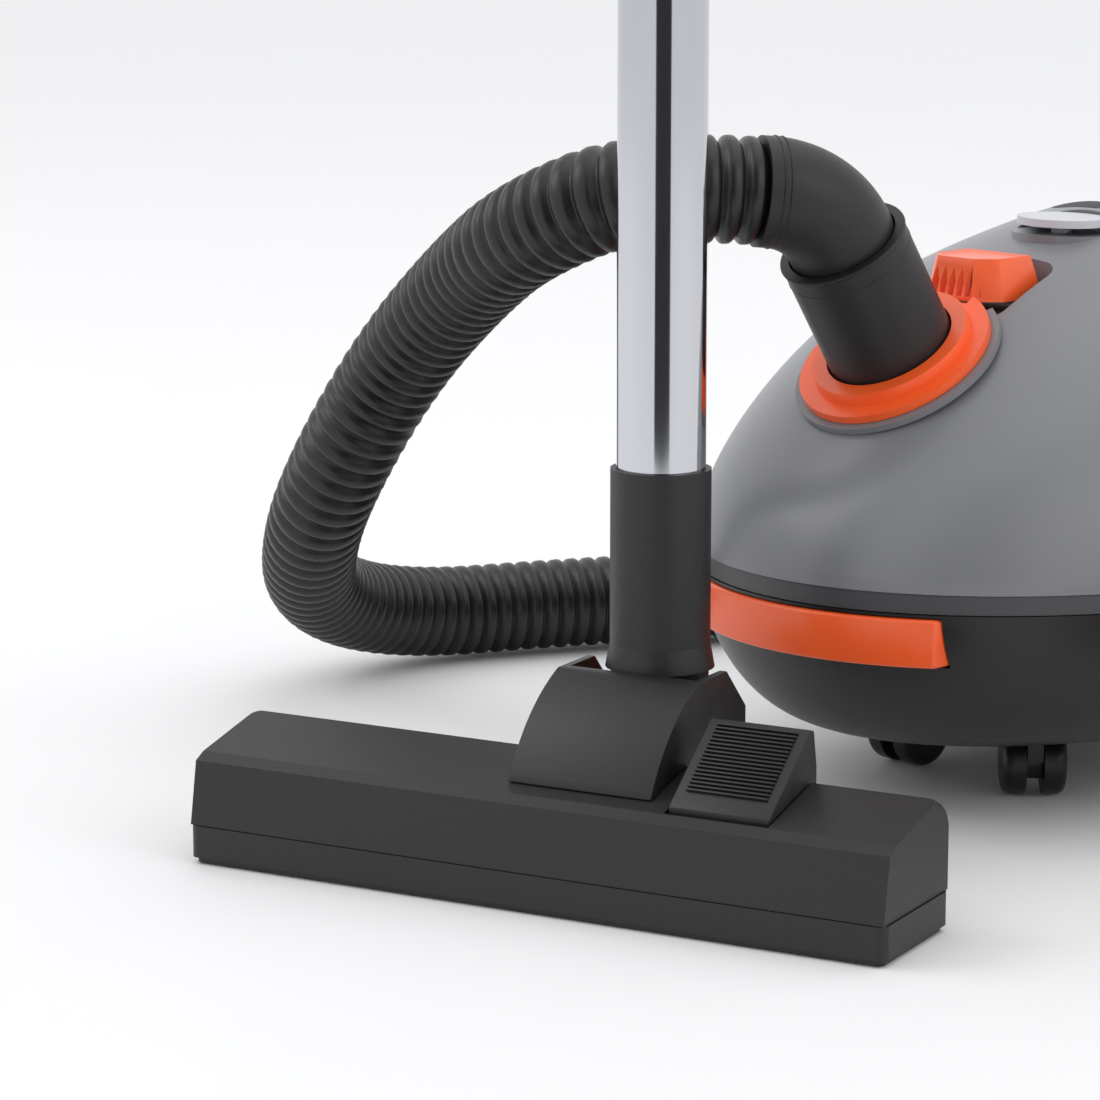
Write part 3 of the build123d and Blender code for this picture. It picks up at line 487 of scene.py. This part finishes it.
def edit_only(piece, chosen, kind):
    """Goes into edit mode with only the edges or faces selected that chosen() picks."""
    bpy.ops.object.mode_set(mode="EDIT")
    bpy.ops.mesh.select_all(action="DESELECT")
    bpy.ops.object.mode_set(mode="OBJECT")
    for part in getattr(piece.data, kind):
        part.select = chosen(part)
    bpy.ops.object.mode_set(mode="EDIT")


def upright_at_front(edge):
    """True for an upright edge of the knob's front."""
    a, b = (knob.data.vertices[i].co for i in edge.vertices)
    return abs(a.z - b.z) > 0.01 and a.y < KNOB_MIDDLE.y


start_fresh()
bpy.ops.mesh.primitive_cube_add(size=1, location=KNOB_MIDDLE)
knob = bpy.context.object
knob.scale = KNOB_SIZE
set_down(knob)
edit_only(knob, upright_at_front, "edges")
bpy.ops.mesh.bevel(offset=KNOB_CHAMFER, segments=1, affect="EDGES")
edit_only(knob, lambda face: face.normal.z > 0.9, "polygons")
bpy.ops.transform.resize(value=(KNOB_DRAW_IN, KNOB_DRAW_IN, 1))
bpy.ops.mesh.inset(thickness=0.0022, depth=0.0)
bpy.ops.transform.translate(value=(0, 0, -0.0008))
bpy.ops.object.mode_set(mode="OBJECT")
start_fresh()
bpy.ops.mesh.primitive_cone_add(vertices=4, radius1=0.0022, radius2=0.0008, depth=0.013,
                                location=FIRST_GROOVE)
cutter = bpy.context.object
set_down(cutter)
add_modifier(cutter, "ARRAY", count=GROOVES, use_relative_offset=False,
             use_constant_offset=True, constant_offset_displace=(GROOVE_PITCH, 0, 0))
add_modifier(knob, "BOOLEAN", object=cutter, operation="DIFFERENCE", solver="EXACT")
bpy.data.objects.remove(cutter)
add_modifier(knob, "BEVEL", width=0.0004, segments=2, limit_method="ANGLE")
face_outwards(knob)
finish_piece(knob, "grooved_knob", "knob", "orange")
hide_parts("speed_knob")

# %% [markdown]
# ## Lips and seam lines on the inlet
# The inlet collar ends in a thin rolled lip, with a fine seam line below it, and the elbow has
# two fine rings where the hose screws in. Each is a slim torus that stands half out of the
# wall. A torus is added along Z and then turned to the way of the pipe it sits on.

# %% Pipe rings
INLET = Vector((0, -40, 171))
INLET_LEAN = radians(33.5)
INLET_WAY = Vector((0, -sin(INLET_LEAN), cos(INLET_LEAN)))
PIPE_RINGS = (
    ("collar_lip", INLET + INLET_WAY * 55.0, INLET_WAY, 24.1, 0.75),
    ("collar_seam", INLET + INLET_WAY * 48.5, INLET_WAY, 24.1, 0.28),
    ("elbow_ring_front", ELBOW_END - HOSE_WAY * 5, HOSE_WAY, 20.5, 0.4),
    ("elbow_ring_back", ELBOW_END - HOSE_WAY * 7.5, HOSE_WAY, 20.5, 0.3))
for name, middle, way, reach, thick in PIPE_RINGS:
    start_fresh()
    bpy.ops.mesh.primitive_torus_add(major_radius=reach * MM, minor_radius=thick * MM,
                                     major_segments=96, minor_segments=10)
    ring = bpy.context.object
    ring.rotation_mode = "QUATERNION"
    ring.rotation_quaternion = way.to_track_quat("Z", "Y")
    ring.location = place(*middle)
    set_down(ring)
    face_outwards(ring, 80)
    finish_piece(ring, name, "canister", "head_black")

# %% [markdown]
# ## The dust bag
# Inside the nose lies a paper fleece bag, a soft pillow that is partly full. A box is divided
# into a grid and its points are smoothed, which draws the edges and corners in and leaves the
# sides crowned. A low cloud of displacement adds slack dents, and one level of subdivision
# takes the grid out of the surface.

# %% Dust bag
BAG_FILL, BAG_GRID, BAG_SMOOTHING = 0.93, 14, 12
DENT_SIZE, DENT_DEPTH = 0.022, 0.004
bag_low, bag_high = (Vector(corner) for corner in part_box("dust_bag"))
start_fresh()
bpy.ops.mesh.primitive_cube_add(size=1, location=(bag_low + bag_high) / 2)
bag = bpy.context.object
bag.scale = (bag_high - bag_low) * BAG_FILL
set_down(bag)
bpy.ops.object.mode_set(mode="EDIT")
bpy.ops.mesh.select_all(action="SELECT")
bpy.ops.mesh.subdivide(number_cuts=BAG_GRID)
bpy.ops.mesh.vertices_smooth(factor=0.5, repeat=BAG_SMOOTHING)
bpy.ops.object.mode_set(mode="OBJECT")
dents = bpy.data.textures.new("bag_dents", "CLOUDS")
dents.noise_scale = DENT_SIZE
add_modifier(bag, "DISPLACE", texture=dents, strength=DENT_DEPTH, mid_level=0.6)
add_modifier(bag, "SUBSURF", levels=1, render_levels=1)
face_outwards(bag, 80)
finish_piece(bag, "fleece_bag", "canister", "bag_paper")
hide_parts("dust_bag")

# %% [markdown]
# ## The floor and the light
# A pale floor and large soft lights show the shape without hard shadows. One dark card stands
# in front of the wand, where only reflections see it, because a chromed tube in a white room
# would look like paper. It stays where it is in every view.

# %% Floor
floor_finish = plastic("studio_floor", (0.86, 0.86, 0.86), 0.7, 40, 0.00001, 0.01)
start_fresh()
bpy.ops.mesh.primitive_plane_add(size=30, location=(0, 0, -0.0005))
floor = bpy.context.object
floor.name = "studio_floor"
floor.data.materials.append(floor_finish)

# %% Dark card
card_finish = plastic("studio_card", (0.02, 0.02, 0.022), 0.8, 40, 0.00001, 0.02)
WAND_FOOT = place(8.574, -171.576, 0)
CARD_AWAY, CARD_WIDE, CARD_TALL = 0.8, 0.56, 1.7
CARD_WAY = Vector((0.737, -0.676, 0))
start_fresh()
bpy.ops.mesh.primitive_plane_add(size=1, location=(0, 0, 0))
card = bpy.context.object
card.name = "studio_card"
card.scale = (CARD_WIDE, CARD_TALL, 1)
card.rotation_euler = (radians(90), 0, atan2(CARD_WAY.x, -CARD_WAY.y))
card.location = WAND_FOOT + CARD_WAY * CARD_AWAY + Vector((0, 0, CARD_TALL / 2 + 0.01))
set_down(card)
card.data.materials.append(card_finish)
card.visible_camera = False
card.visible_diffuse = False
card.visible_shadow = False

# %% Lights
world = bpy.data.worlds.new("studio_room")
world.use_nodes = True
bpy.context.scene.world = world
room = world.node_tree.nodes["Background"]
room.inputs["Color"].default_value = (0.98, 0.985, 1.0, 1)
room.inputs["Strength"].default_value = 1.0
bpy.context.scene.view_settings.view_transform = "Standard"


def soft_light(name, spot, size, power):
    """A square softbox aimed at the middle of the object."""
    lamp = bpy.data.lights.new(name, "AREA")
    lamp.size, lamp.energy = size, power
    holder = bpy.data.objects.new(name, lamp)
    holder.location = spot
    aim = Vector((0, 0, 0.15)) - Vector(spot)
    holder.rotation_mode = "QUATERNION"
    holder.rotation_quaternion = aim.to_track_quat("-Z", "Y")
    bpy.context.scene.collection.objects.link(holder)


for name, spot, size, power in (("key_box", (-1.6, -1.5, 2.2), 1.6, 15),
                                ("fill_box", (2.2, 0.4, 1.5), 1.4, 6),
                                ("top_box", (0.1, 0.5, 2.4), 1.8, 5)):
    soft_light(name, spot, size, power)
